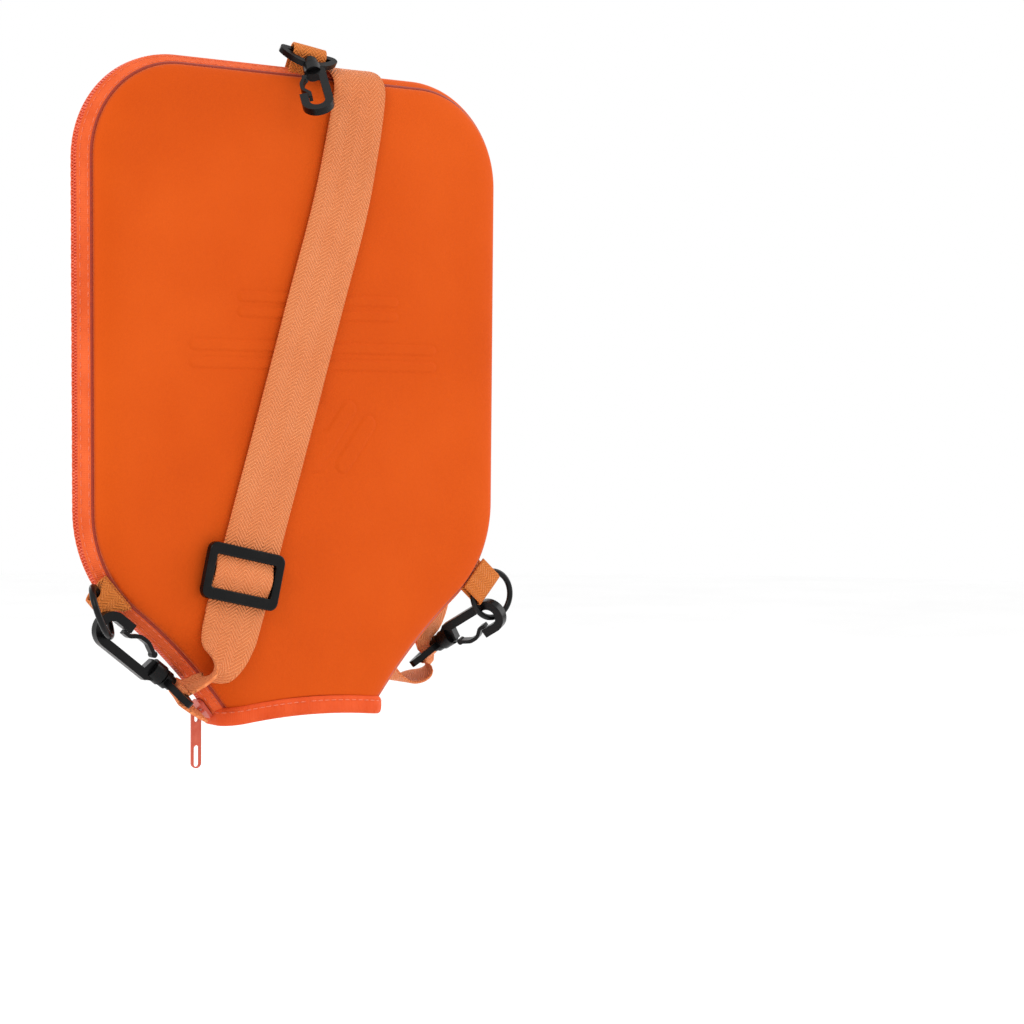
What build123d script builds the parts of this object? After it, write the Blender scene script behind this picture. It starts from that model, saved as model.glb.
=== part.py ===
from build123d import *
import math
import os

# Padded paddle case with a sling strap. Units are millimetres.
# X is to the right seen from the front, the front faces -Y, and +Z runs from the neck
# mouth up to the closed end. The origin is the centre of the neck mouth.

# ---- Driving dimensions -------------------------------------------------------------

# Seam outline of the panels, right half, from the neck up
NECK = (41.7, 8.8)
WAIST = (63.4, 36.5)
SHOULDER = (108.9, 73.2)
TOP_CORNER = (109.8, 299.8)
WAIST_RADIUS = 240
SHOULDER_RADIUS = 57
CORNER_RADIUS = 44
NECK_ARCH = 3.3

# Depth of the case
SEAM_Y = 9.0
PANEL_Y = 14.5
CLOTH = 3.5
EDGE_ROUND = 4.5
GUSSET_BULGE = 5.0
GUSSET_CLOTH = 3.2
HEM_HEIGHT = 8.8
NECK_LOOP_X = 42.5
NECK_LOOP_Y = 12.7
SEAM_TAPE = 0.9

# Zip
ZIP_END_X = 26.0
COIL_WIDTH = 2.6
COIL_GAP = 0.05
COIL_TOP = 5.4
COIL_BOTTOM = 3.2
SLIDER_LENGTH = 10.0
SLIDER_WIDTH = 8.6
SLIDER_START = 4.5
BAIL_HEIGHT = 10.4
BAIL_HALF = 2.6
BAIL_WIRE = 0.65
PULL_LENGTH = 27.5
PULL_WIDTH = 5.0
PULL_HALF = 0.6

# Slip pocket on the back
POCKET_MOUTH_Z = 156.0
POCKET_GAP = 5.0
POCKET_CLOTH = 2.0
POCKET_HEM = 8.0

# Webbing; the strap's middle runs from the adjuster's end to the closed end
STRAP_WIDTH = 30.0
WEBBING = 1.4
STRAP_Y = -16.9
LOW_STRAP = (-43.5, 48.0)
HIGH_STRAP = (14.0, 238.0)
TOP_STRAP_X = 25.6
TAB_WIDTH = 19.6
TAB_WEBBING = 1.1

# Round rings in the shoulder tabs
RING_RADIUS = 11.5
WIRE_RADIUS = 1.45
RIGHT_RING = Vector(111.4, -7.5, 54.9)
RIGHT_RING_NORMAL = Vector(0, 1, 0)
LEFT_RING = Vector(-108.0, -13.6, 56.3)
LEFT_RING_NORMAL = Vector(0.765, -0.55, 0.337)

# Swivel snap hooks, lengths from the outer edge of the eye, x towards the gate
EYE_WIDTH = 33.0
EYE_LENGTH = 13.0
EYE_WIRE = 3.2
COLLAR_RADIUS = 4.2
COLLAR_SPAN = (10.0, 13.2)
POST_RADIUS = 2.08
BORE_RADIUS = 2.14
HEAD_RADIUS = 3.3
HEAD_HEIGHT = 2.2
BARREL_RADIUS = 4.8
BARREL_SPAN = (13.6, 20.4)
SLOT_X = 1.8
SLOT_START = 22.8
HOOK_SIDE = 6.3
BOW_CENTRE = 47.2
NOSE_END = 39.0
HOOK_WIRE = 4.3
HOOK_DEPTH = 4.2
GATE_PIVOT = (5.2, 23.4)
GATE_THICK = 1.9
SMALL_HOOK = 0.86

# Where each hook's eye ends, and its direction from the eye to the bow
HOOK_FACING = Vector(-0.537, -0.843, 0)
LEFT_EYE_END = Vector(-65.9, -11.0, 17.4)
LEFT_ALONG = Vector(-0.79, 0, 0.613)
RIGHT_EYE_END = Vector(100.0, 33.5, 23.8)
RIGHT_ALONG = Vector(0.19, -0.862, 0.465)
TOP_EYE_END = Vector(1.4, -8.6, 311.2)
TOP_ALONG = Vector(-0.27, -0.71, -0.65)

# Strap adjuster
GLIDE_SIZE = (40.5, 26.0)
GLIDE_WINDOW = (31.8, 15.2)
GLIDE_THICK = 3.2
GLIDE_CENTRE = Vector(-39.4, -18.0, 69.8)
GLIDE_TILT = -12.5
GLIDE_BAR_HEIGHT = 1.4
GLIDE_BAR_WIDTH = 4.4

CLEAR = 0.3


# ---- Outline helpers ----------------------------------------------------------------


def mirrored(points):
    """The same points on the other side of the centre plane."""
    return [(-x, z) for x, z in points]


def seam_outline():
    """The panel's face between its seams, closed across the neck by an arch."""
    right = [NECK, WAIST, SHOULDER, TOP_CORNER]
    radii = [WAIST_RADIUS, SHOULDER_RADIUS, CORNER_RADIUS]
    sides = FilletPolyline(*mirrored(right), *right[::-1], radius=radii + radii[::-1])
    arch = ThreePointArc(NECK, (0, NECK[1] + NECK_ARCH), (-NECK[0], NECK[1]))
    return make_face([*sides.edges(), arch])


def shrunk_outline(inset):
    """The seam outline moved inward, left open across the neck."""
    inner = offset(seam_outline(), -inset, kind=Kind.INTERSECTION)
    mouth_width = 2 * (NECK[0] - inset)
    mouth = Pos(0, NECK[1]) * Rectangle(mouth_width, 2 * (inset + 2 * NECK_ARCH))
    return inner + mouth


def slab(sketch, front, back):
    """Extrude an outline drawn in x and z between two depths."""
    return extrude(Plane.XZ.offset(-back) * sketch, amount=back - front)


def zip_path():
    """Seam line under the zip: left shoulder, left side and the closed end."""
    points = mirrored([NECK, WAIST, SHOULDER, TOP_CORNER]) + [(ZIP_END_X, TOP_CORNER[1])]
    return Plane.XZ * FilletPolyline(*points, radius=[WAIST_RADIUS, SHOULDER_RADIUS, CORNER_RADIUS])


def plain_path():
    """Seam line under the plain gusset: the right side down to the neck."""
    points = [(ZIP_END_X, TOP_CORNER[1]), TOP_CORNER, SHOULDER, WAIST, NECK]
    return Plane.XZ * FilletPolyline(*points, radius=[CORNER_RADIUS, SHOULDER_RADIUS, WAIST_RADIUS])


def section_plane(path):
    """Plane across a seam line at its start: local x is depth, local y points outward."""
    return Plane(origin=path @ 0, x_dir=(0, 1, 0), z_dir=path % 0)


def crescent():
    """Bulging section of the gusset, from the front seam to the back seam."""
    outer = ThreePointArc((-SEAM_Y, 0), (0, GUSSET_BULGE), (SEAM_Y, 0))
    inner = ThreePointArc(
        (SEAM_Y, -GUSSET_CLOTH), (0, GUSSET_BULGE - GUSSET_CLOTH), (-SEAM_Y, -GUSSET_CLOTH)
    )
    return make_face([outer, Line(outer @ 1, inner @ 0), inner, Line(inner @ 1, outer @ 0)])


def swept(section, path):
    return sweep(section_plane(path) * section, path=path)


# ---- Case -----------------------------------------------------------------------------


def panel(side):
    """Padded panel, a shallow tray with a rounded outer edge; side is -1 front, +1 back."""
    depth = PANEL_Y - SEAM_Y
    plate = extrude(seam_outline(), amount=depth)
    rim = plate.edges().group_by(Axis.Z)[-1].filter_by(lambda edge: edge.center().Y > WAIST[1] / 2)
    plate = fillet(rim, EDGE_ROUND)
    hollow = extrude(shrunk_outline(CLOTH), amount=depth - CLOTH)
    tray = plate - hollow
    if side < 0:
        return Plane.XZ.offset(SEAM_Y) * tray
    return mirror(Plane.XZ.offset(SEAM_Y) * tray, about=Plane.XZ)


def zip_tape(side):
    """Gusset tape on one side of the zip's coil."""
    band = SEAM_Y - COIL_WIDTH - 2 * COIL_GAP
    middle = side * (SEAM_Y - band / 2)
    return swept(crescent() & (Pos(middle, 0) * Rectangle(band, 30)), zip_path())


def zip_coil(side):
    """One half of the coil chain, lying along the middle of the gusset."""
    height = COIL_TOP - COIL_BOTTOM
    middle = side * (COIL_GAP + COIL_WIDTH / 2)
    return swept(Pos(middle, COIL_BOTTOM + height / 2) * Rectangle(COIL_WIDTH, height), zip_path())


def plain_gusset():
    return swept(crescent(), plain_path())


def seam_tape(side):
    """Flat tape that covers a panel's seam on the inside."""
    ring = shrunk_outline(CLOTH) - shrunk_outline(CLOTH + SEAM_TAPE)
    ring = ring & (Pos(0, 160) * Rectangle(300, 300))
    edges = sorted([side * SEAM_Y, side * (PANEL_Y - CLOTH)])
    return slab(ring, *edges)


def neck_loop(outset):
    """Rounded oblong round the neck mouth in plan, outset from the cloth's middle."""
    return RectangleRounded(2 * (NECK_LOOP_X + outset), 2 * (NECK_LOOP_Y + outset), 9 + outset)


def neck_binding(side):
    """Half of the bound neck hem, with an arched rim."""
    ring = neck_loop(2.7) - neck_loop(-2.6)
    half = Pos(0, side * (20 + COIL_GAP)) * Rectangle(200, 40)
    band = extrude(ring & half, amount=HEM_HEIGHT + NECK_ARCH)
    ends = neck_loop(2.7).bounding_box().max.X
    top = Spline((-ends, HEM_HEIGHT), (0, HEM_HEIGHT + NECK_ARCH), (ends, HEM_HEIGHT))
    rim = Spline((ends, 0), (0, NECK_ARCH), (-ends, 0))
    sides = [Line(top @ 1, rim @ 0), Line(rim @ 1, top @ 0)]
    return band & slab(make_face([top, rim, *sides]), -30, 30)


# ---- Pocket -----------------------------------------------------------------------------


def pocket_panel():
    """Slip pocket on the back: a sheet held off the panel, closed on three sides."""
    top = TOP_CORNER[1]
    low = POCKET_MOUTH_Z + POCKET_HEM
    inset = EDGE_ROUND + 0.2
    wall = POCKET_CLOTH
    whole = offset(seam_outline(), -inset, kind=Kind.INTERSECTION)
    inner = offset(seam_outline(), -inset - wall, kind=Kind.INTERSECTION)
    window = Pos(0, (low + top) / 2) * Rectangle(300, top - low)
    outer_y = PANEL_Y + POCKET_GAP + POCKET_CLOTH
    shell = slab(whole & window, PANEL_Y, outer_y)
    return shell - slab(inner & window, PANEL_Y, PANEL_Y + POCKET_GAP)


def pocket_binding():
    """Hem across the pocket's mouth."""
    low = POCKET_MOUTH_Z
    whole = offset(seam_outline(), -EDGE_ROUND - 0.2, kind=Kind.INTERSECTION)
    inner = offset(seam_outline(), -EDGE_ROUND - 0.2 - POCKET_CLOTH, kind=Kind.INTERSECTION)
    window = Pos(0, low + POCKET_HEM / 2) * Rectangle(300, POCKET_HEM)
    outer_y = PANEL_Y + POCKET_GAP + POCKET_CLOTH
    shell = slab(whole & window, PANEL_Y, outer_y + 0.5)
    return shell - slab(inner & window, PANEL_Y, PANEL_Y + POCKET_GAP - 0.4)


# ---- Zip slider --------------------------------------------------------------------------


def slider_plane():
    """Plane on the zip line under the closed slider: local x depth, y outward, z along."""
    path = zip_path()
    place = SLIDER_START / path.length
    return Plane(origin=path @ place, x_dir=(0, 1, 0), z_dir=path % place)


def zip_slider():
    """Slider body over the coil, with a bail across it."""
    thick = 1.6
    floor = COIL_TOP + CLEAR
    body = Box(SLIDER_WIDTH, thick, SLIDER_LENGTH)
    body = fillet(body.edges().filter_by(Axis.Y), 2.0)
    body = Pos(0, floor + thick / 2, 0) * body
    foot = floor + thick / 2
    corners = [(-BAIL_HALF, foot), (-BAIL_HALF, BAIL_HEIGHT), (BAIL_HALF, BAIL_HEIGHT), (BAIL_HALF, foot)]
    arch = FilletPolyline(*corners, radius=1.4)
    wire = sweep(Plane(origin=arch @ 0, z_dir=arch % 0) * Circle(BAIL_WIRE), path=arch)
    return slider_plane().location * (body + wire)


def bail_point():
    """Middle of the bail's bar."""
    return slider_plane().from_local_coords(Vector(0, BAIL_HEIGHT, 0))


def zip_pull():
    """Flat pull hanging from the bail, with a small and a long hole."""
    plate = Pos(0, 2.6 - PULL_LENGTH / 2) * SlotOverall(PULL_LENGTH, PULL_WIDTH, rotation=90)
    upper = Pos(0, -0.9) * SlotOverall(5.4, 2.2, rotation=90)
    lower = Pos(0, 8.2 - PULL_LENGTH) * SlotOverall(10.0, 2.8, rotation=90)
    pull = extrude(plate - upper - lower, amount=PULL_HALF, both=True)
    return Pos(bail_point()) * (Plane.XZ.location * pull)


# ---- Webbing ribbons ------------------------------------------------------------------------


def ribbon(stations, thick=WEBBING):
    """Flat webbing through stations of (middle, direction across, width)."""
    middles = [Vector(middle) for middle, across, width in stations]
    sections = []
    for index, (middle, across, width) in enumerate(stations):
        before = middles[max(index - 1, 0)]
        after = middles[min(index + 1, len(middles) - 1)]
        run = (after - before).normalized()
        side = Vector(across)
        side = (side - run * side.dot(run)).normalized()
        face = side.cross(run).normalized() * (thick / 2)
        half = side * (width / 2)
        centre = middles[index]
        near = [centre + half + face, centre - half + face]
        far = [centre - half - face, centre + half - face]
        sections.append(make_face(Polyline(*near, *far, close=True)))
    return loft(sections, ruled=True)


def strap_front():
    """Strap up the front, from below the adjuster to the closed end."""
    run = [
        (LOW_STRAP, STRAP_WIDTH),
        (HIGH_STRAP, STRAP_WIDTH),
        ((20.0, 264.0), STRAP_WIDTH),
        ((24.2, 286.0), STRAP_WIDTH - 1),
        ((25.4, 293.6), STRAP_WIDTH - 2),
    ]
    return ribbon([((x, STRAP_Y, z), (1, 0, 0), width) for (x, z), width in run])


def strap_over_end():
    """Strap over the closed end, in front of and behind the gusset."""
    arc = [(STRAP_Y, 296.6), (-16.2, 299.6), (-13.2, 302.4), (-8.0, 304.8), (-2.6, 306.3), (2.6, 306.5)]
    arc += [(9.0, 305.4), (17.0, 303.0), (22.0, 299.0), (24.4, 293.0), (25.0, 285.6)]
    return ribbon([((TOP_STRAP_X, y, z), (1, 0, 0), STRAP_WIDTH - 2) for y, z in arc])


def strap_back():
    """Strap down the back, swinging away from the case towards the right hook."""
    run = [
        ((27.2, 25.2, 279.0), STRAP_WIDTH - 2),
        ((44.0, 25.6, 230.0), STRAP_WIDTH),
        ((64.0, 26.4, 170.0), STRAP_WIDTH),
        ((86.0, 27.6, 110.0), STRAP_WIDTH),
        ((98.0, 29.0, 76.5), STRAP_WIDTH - 1),
    ]
    return ribbon([(place, (1, 0, 0), width) for place, width in run])


def round_bar(middle, along, bar, reach, turns):
    """Centres of webbing bent round an eye's bar, by eighths of a turn from the bow's side."""
    square = bar.cross(along)
    places = []
    for turn in turns:
        angle = math.radians(45 * turn)
        places.append(middle + (along * math.cos(angle) + square * math.sin(angle)) * reach)
    return places


def strap_right_loop():
    """Sewn end of the strap: down to the right eye, round its bar and up again in a slack loop."""
    along = RIGHT_ALONG.normalized()
    middle = RIGHT_EYE_END + along * (EYE_WIRE / 2)
    down = [
        ((101.4, 30.8, 75.0), 28),
        ((104.4, 31.4, 54.0), 26),
        ((103.6, 31.6, 39.0), 20),
        ((98.3, 31.1, 29.9), 16),
    ]
    run = [(place, RIGHT_BAR, width) for place, width in down]
    for place in round_bar(middle, along, RIGHT_BAR, 3.6, (0.1, 1.0, 2.0, 3.0)):
        run.append((place, RIGHT_BAR, 15))
    run += [
        ((101.2, 33.6, 17.0), (0.7, 0.6, 0.35), 19),
        ((97.0, 33.8, 13.0), (0.4, 0.85, 0.2), 24),
        ((90.0, 34.0, 10.2), (0.1, 1, 0.05), 24),
        ((83.0, 33.6, 10.6), (0, 1, 0), 24),
        ((78.0, 32.6, 17.0), (0.2, 0.95, 0), 25),
        ((77.6, 31.2, 28.0), (0.6, 0.75, 0.1), 27),
        ((83.0, 29.6, 50.0), RIGHT_BAR, 28),
        ((93.5, 27.2, 73.6), RIGHT_BAR, 28),
    ]
    return ribbon(run)


def strap_left_loop():
    """Strap's crumpled run from the front round the left eye's bar."""
    along = LEFT_ALONG.normalized()
    middle = LEFT_EYE_END + along * (EYE_WIRE / 2) - LEFT_BAR * 1.5
    run = [
        ((-44.0, STRAP_Y, 46.4), (1, 0, 0), 29),
        ((-47.0, -17.6, 38.4), (1, 0, 0), 26),
        ((-50.6, -19.6, 31.4), (0.95, 0.2, 0.1), 21),
        ((-54.6, -21.0, 27.0), (0.85, 0.4, 0.15), 18),
        ((-60.2, -20.6, 23.8), (0.5, 0.8, 0.25), 16),
    ]
    for place in round_bar(middle, along, LEFT_BAR, 3.6, (2, 1, 0, -1, -2)):
        run.append((place, LEFT_BAR, 15))
    run.append(((-63.5, -13.0, 10.0), LEFT_BAR, 15))
    return ribbon(run)


def strap_doubled():
    """Second layer under the front strap, from the adjuster to the crumple."""
    depth = STRAP_Y + 1.55
    run = [((-33.4, depth, 81.0), 29), ((-43.4, depth, 48.6), 29)]
    return ribbon([(place, (1, 0, 0), width) for place, width in run], thick=0.9)


# ---- Tabs and rings ----------------------------------------------------------------------


def shoulder_axes(sign):
    """Tab root on the shoulder's front seam: its middle, its run and its outward normal."""
    run = Vector(sign * 0.66, 0, 0.75).normalized()
    normal = Vector(sign * run.Z, 0, -sign * run.X)
    root = Vector(sign * 96.6, -SEAM_Y, 65.0)
    return root, run, normal


def ring(centre, normal):
    return Plane(origin=centre, z_dir=normal).location * Torus(RING_RADIUS, WIRE_RADIUS)


def hairpin(length, gap):
    """Closed loop of webbing in section, its fold at the origin and its root at -length."""
    outer = Pos(-length / 2) * SlotOverall(length, gap + 2 * TAB_WEBBING)
    inner = Pos(-length / 2) * SlotOverall(length - 2 * TAB_WEBBING, gap)
    return outer - inner


def loop_right():
    """Flat tab with half of its ring lying inside it."""
    _, run, normal = shoulder_axes(1)
    fold = RIGHT_RING - normal * (2 * WIRE_RADIUS)
    plane = Plane(origin=fold, x_dir=normal, z_dir=run)
    return plane.location * extrude(hairpin(14.4, 3.9), amount=TAB_WIDTH / 2 - 1.1, both=True)


def loop_left():
    """Tab that hugs the gusset and folds round the far side of its ring."""
    root, run, normal = shoulder_axes(-1)
    path = [
        (-9.3, 0.8, 1.0),
        (-6.8, 3.9, 0.95),
        (-4.0, 4.7, 0.8),
        (-0.8, 6.0, 0.68),
        (-0.2, 8.6, 0.62),
        (-1.8, 11.9, 0.58),
        (-4.6, 13.0, 0.58),
        (-7.4, 12.0, 0.5),
        (-8.2, 8.2, 0.5),
        (-8.6, 5.0, 0.8),
        (-10.2, 2.0, 1.0),
    ]
    base = root + Vector(0, SEAM_Y, 0)
    stations = []
    for depth, height, share in path:
        middle = base + Vector(0, depth, 0) + normal * height
        stations.append((middle, run, TAB_WIDTH * share))
    return ribbon(stations, thick=TAB_WEBBING)


def loop_top():
    """Tab at the closed end, folded over the small hook's eye."""
    along = TOP_ALONG.normalized()
    bar = TOP_EYE_END + along * (SMALL_HOOK * EYE_WIRE / 2)
    outward = Vector(0, -0.5, 0.866)
    plane = Plane(origin=bar + outward * 3.6, x_dir=outward, z_dir=Vector(1, 0, 0) - along * along.X)
    return plane.location * extrude(hairpin(14.0, 4.8), amount=TAB_WIDTH / 2 - 1.7, both=True)


# ---- Snap hooks ------------------------------------------------------------------------------


def rod(radius, low, high):
    """Round bar along local y."""
    return extrude(Plane(origin=(0, low, 0), z_dir=(0, 1, 0)) * Circle(radius), amount=high - low)


def hook_eye():
    """D-shaped eye with a collar for the swivel post; local y runs towards the bow."""
    half = EYE_WIDTH / 2
    shoulder = 3.4
    arc = ThreePointArc((half, shoulder), (0, EYE_LENGTH), (-half, shoulder))
    base = Polyline((-half, shoulder), (-half, 0), (half, 0), (half, shoulder))
    outer = make_face([arc, *base.edges()])
    outer = fillet(outer.vertices().group_by(Axis.Y)[0], 2.6)
    inner = offset(outer, -EYE_WIRE, kind=Kind.INTERSECTION)
    frame = extrude(outer - inner, amount=EYE_WIRE / 2, both=True)
    low, high = COLLAR_SPAN
    collar = rod(COLLAR_RADIUS, low, high)
    return frame - rod(COLLAR_RADIUS, low - 4, low) + collar - rod(BORE_RADIUS, low - 4, high + 4)


def hook_body():
    """Barrel, spine and bow in one piece, with the swivel post and its head."""
    low, high = BARREL_SPAN
    barrel = rod(BARREL_RADIUS, low, high)
    barrel = chamfer(barrel.edges().group_by(Axis.Y)[0], 0.6)
    head_low = COLLAR_SPAN[0] - CLEAR - HEAD_HEIGHT
    post = rod(POST_RADIUS, head_low, low)
    head = rod(HEAD_RADIUS, head_low, head_low + HEAD_HEIGHT)
    left = SLOT_X - HOOK_SIDE
    right = SLOT_X + HOOK_SIDE
    spine = Line((left, high), (left, BOW_CENTRE))
    bow = ThreePointArc((left, BOW_CENTRE), (SLOT_X, BOW_CENTRE + HOOK_SIDE), (right, BOW_CENTRE))
    nose = Line((right, BOW_CENTRE), (right, NOSE_END))
    outline = trace([spine, bow, nose], HOOK_WIRE)
    edge = left - HOOK_WIRE / 2
    neck = [(edge, SLOT_START + 2), (edge, SLOT_START - 2), (-BARREL_RADIUS, high - 3)]
    foot = [(GATE_PIVOT[0] - 2, high - 3), (GATE_PIVOT[0] - 2, SLOT_START), (left, SLOT_START + 2)]
    outline += make_face(Polyline(*neck, *foot, close=True))
    frame = extrude(outline, amount=HOOK_DEPTH / 2, both=True)
    return barrel + post + head + frame


def hook_gate():
    """Thin sprung arm from the barrel to the inside of the nose."""
    inside = SLOT_X + HOOK_SIDE - (HOOK_WIRE + GATE_THICK) / 2 - CLEAR
    outside = SLOT_X + HOOK_SIDE - CLEAR
    points = [GATE_PIVOT, (outside, 29.0), (outside, 34.0), (inside, NOSE_END - 0.6)]
    path = FilletPolyline(*points, (inside, NOSE_END + 3.0), radius=[5, 6, 2])
    arm = trace(path, GATE_THICK)
    root = Pos(*GATE_PIVOT) * Circle(1.5)
    return extrude(arm + root, amount=HOOK_DEPTH / 2 - CLEAR, both=True)


def hook_frame(eye_end, along, facing):
    """Plane of a hook: local y from the eye to the bow, local z its face, x its gate side."""
    along = Vector(along).normalized()
    facing = Vector(facing)
    facing = (facing - along * facing.dot(along)).normalized()
    return Plane(origin=eye_end, x_dir=along.cross(facing), z_dir=facing)


def eye_bar(along):
    """Direction of an eye's bar when the eye stands square to its hook's face."""
    along = along.normalized()
    back = -HOOK_FACING
    return (back - along * back.dot(along)).normalized()


LEFT_BAR = eye_bar(LEFT_ALONG)
RIGHT_BAR = eye_bar(RIGHT_ALONG)

HOOKS = {
    "left": (LEFT_EYE_END, LEFT_ALONG, Vector(0, -1, 0), LEFT_BAR, 1.0),
    "right": (RIGHT_EYE_END, RIGHT_ALONG, HOOK_FACING, RIGHT_BAR, 1.0),
    "top": (TOP_EYE_END, TOP_ALONG, HOOK_FACING, Vector(1, 0, 0), SMALL_HOOK),
}


def hook_parts(end, along, facing, bar, size):
    """Body, gate and eye of one hook, placed."""
    face = hook_frame(end, along, facing).location
    along = along.normalized()
    bar = (bar - along * bar.dot(along)).normalized()
    eye_plane = Plane(origin=end, x_dir=bar, z_dir=bar.cross(along))
    body = face * scale(hook_body(), size)
    gate = face * scale(hook_gate(), size)
    eye = eye_plane.location * scale(hook_eye(), size)
    return {"body": body, "gate": gate, "eye": eye}


# ---- Adjuster ----------------------------------------------------------------------------------


def on_the_strap(piece):
    """Lay a piece drawn flat on the front strap, turned to the strap's slant."""
    place = Plane(origin=GLIDE_CENTRE, z_dir=(0, -1, 0), x_dir=(1, 0, 0))
    return place.location * (Rot(0, 0, GLIDE_TILT) * piece)


def tri_glide():
    """Flat frame with a low centre bar that the strap passes over."""
    outer = RectangleRounded(*GLIDE_SIZE, 4.0)
    window = RectangleRounded(*GLIDE_WINDOW, 1.0)
    frame = extrude(outer - window, amount=GLIDE_THICK)
    frame = fillet(frame.edges().group_by(Axis.Z)[-1], 0.9)
    bar = Box(GLIDE_WINDOW[0] + 2, GLIDE_BAR_WIDTH, GLIDE_BAR_HEIGHT)
    return on_the_strap(frame + Pos(0, 0, GLIDE_BAR_HEIGHT / 2) * bar)


def strap_at_glide():
    """Stretch of strap that rides over the adjuster's centre bar."""
    thick = 0.9
    low = CLEAR + thick / 2
    high = GLIDE_BAR_HEIGHT + CLEAR + thick / 2
    half = GLIDE_WINDOW[1] / 2 - 0.6
    path = FilletPolyline((-half, low), (-3.0, high), (3.0, high), (half, low), radius=1.6)
    width = GLIDE_WINDOW[0] - 1.6
    return on_the_strap(extrude(Plane.YZ * trace(path, thick), amount=width / 2, both=True))


# ---- The whole case ------------------------------------------------------------------------------


def build():
    """Every sub-part by name."""
    hems = {side: neck_binding(side) for side in (-1, 1)}
    hem = hems[-1] + hems[1]
    shell = {
        "front_panel": panel(-1) - hem,
        "back_panel": panel(1) - hem,
        "zip_tape_front": zip_tape(-1) - hem,
        "zip_tape_back": zip_tape(1) - hem,
        "zip_coil_front": zip_coil(-1) - hem,
        "zip_coil_back": zip_coil(1) - hem,
        "plain_gusset": plain_gusset() - hem,
    }
    cloth = shell["front_panel"] + shell["zip_tape_front"] + shell["zip_coil_front"] + shell["plain_gusset"]
    parts = shell | {
        "seam_tape_front": seam_tape(-1),
        "seam_tape_back": seam_tape(1),
        "neck_binding_front": hems[-1],
        "neck_binding_back": hems[1],
        "pocket_panel": pocket_panel(),
        "pocket_binding": pocket_binding(),
        "zip_slider": zip_slider(),
        "zip_pull": zip_pull(),
        "strap_front": strap_front(),
        "strap_doubled_layer": strap_doubled(),
        "strap_over_end": strap_over_end(),
        "strap_back": strap_back(),
        "strap_left_loop": strap_left_loop(),
        "strap_right_loop": strap_right_loop(),
        "tab_left": loop_left() - cloth,
        "tab_right": loop_right() - cloth,
        "tab_top": loop_top() - cloth,
        "ring_left": ring(LEFT_RING, LEFT_RING_NORMAL),
        "ring_right": ring(RIGHT_RING, RIGHT_RING_NORMAL),
        "tri_glide": tri_glide(),
        "strap_at_glide": strap_at_glide(),
    }
    for name, placing in HOOKS.items():
        for piece, solid in hook_parts(*placing).items():
            parts[f"hook_{name}_{piece}"] = solid
    return parts


if __name__ == "__main__":
    os.makedirs("parts", exist_ok=True)
    for name, solid in build().items():
        export_step(solid, f"parts/{name}.step")
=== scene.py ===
import math

import bmesh
import bpy
from mathutils import Matrix, Vector, kdtree, noise


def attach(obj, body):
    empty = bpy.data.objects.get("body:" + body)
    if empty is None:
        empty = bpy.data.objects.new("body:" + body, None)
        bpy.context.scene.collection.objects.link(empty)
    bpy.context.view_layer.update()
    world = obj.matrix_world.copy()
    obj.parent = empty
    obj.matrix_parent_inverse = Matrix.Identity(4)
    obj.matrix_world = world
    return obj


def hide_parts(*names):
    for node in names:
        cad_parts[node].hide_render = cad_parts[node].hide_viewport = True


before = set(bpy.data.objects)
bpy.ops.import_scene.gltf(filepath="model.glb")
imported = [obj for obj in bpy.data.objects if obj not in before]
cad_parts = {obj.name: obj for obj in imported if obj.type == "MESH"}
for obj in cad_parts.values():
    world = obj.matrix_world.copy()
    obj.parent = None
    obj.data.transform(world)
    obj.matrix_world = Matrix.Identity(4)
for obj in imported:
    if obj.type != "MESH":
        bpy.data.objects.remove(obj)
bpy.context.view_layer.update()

# Everything below is in millimetres in the CAD's frame, and is scaled to metres when a mesh is made.
MM = 0.001

# ---- Sizes shared with the CAD -----------------------------------------------------------------

NECK = (41.7, 8.8)
WAIST = (63.4, 36.5)
SHOULDER = (108.9, 73.2)
TOP_CORNER = (109.8, 299.8)
SIDE_RADII = (240, 57, 44)
NECK_ARCH = 3.3
ZIP_END_X = 26.0
SEAM_Y = 9.0
PANEL_Y = 14.5
GUSSET_BULGE = 5.0
COIL_TOP = 5.4
NECK_LOOP = (42.5, 12.7)
NECK_LOOP_RADIUS = 9.0
POCKET_MOUTH_Z = 156.0
POCKET_Y = 21.0
STRAP_Y = -16.9
GLIDE_CENTRE = (-39.4, 69.8)
GLIDE_TILT = math.radians(-12.5)
GLIDE_BACK_Y = -18.0
RIGHT_RING = Vector((111.4, -7.5, 54.9))
RING_WIRE = 2.9
LEFT_EYE = Vector((-65.9, -11.0, 17.4))
LEFT_ALONG = Vector((-0.790, 0, 0.613))
LEFT_BAR = Vector((0.223, 0.931, 0.287))
RIGHT_EYE = Vector((100.0, 33.5, 23.8))
RIGHT_ALONG = Vector((0.190, -0.864, 0.466))
RIGHT_BAR = Vector((0.842, 0.388, 0.375))
TOP_EYE = Vector((1.4, -8.6, 311.2))
TOP_ALONG = Vector((-0.270, -0.710, -0.650)).normalized()
EYE_WIRE = 3.2
STRAP_WIDTH = 30.0
STRAP_LAYER = 1.5
WEBBING = 1.3
TAB_WEBBING = 1.1
TAB_WIDTH = 19.6
SMALL_HOOK = 0.86

# ---- Sizes of the visual meshes ----------------------------------------------------------------

SIDE_STEP = 2.4
ZIP_STEP = 2.0
PANEL_WALL = 3.0
TAPE_WALL = 1.2
POCKET_WALL = 1.8

# ---- Mesh helpers ------------------------------------------------------------------------------


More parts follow.
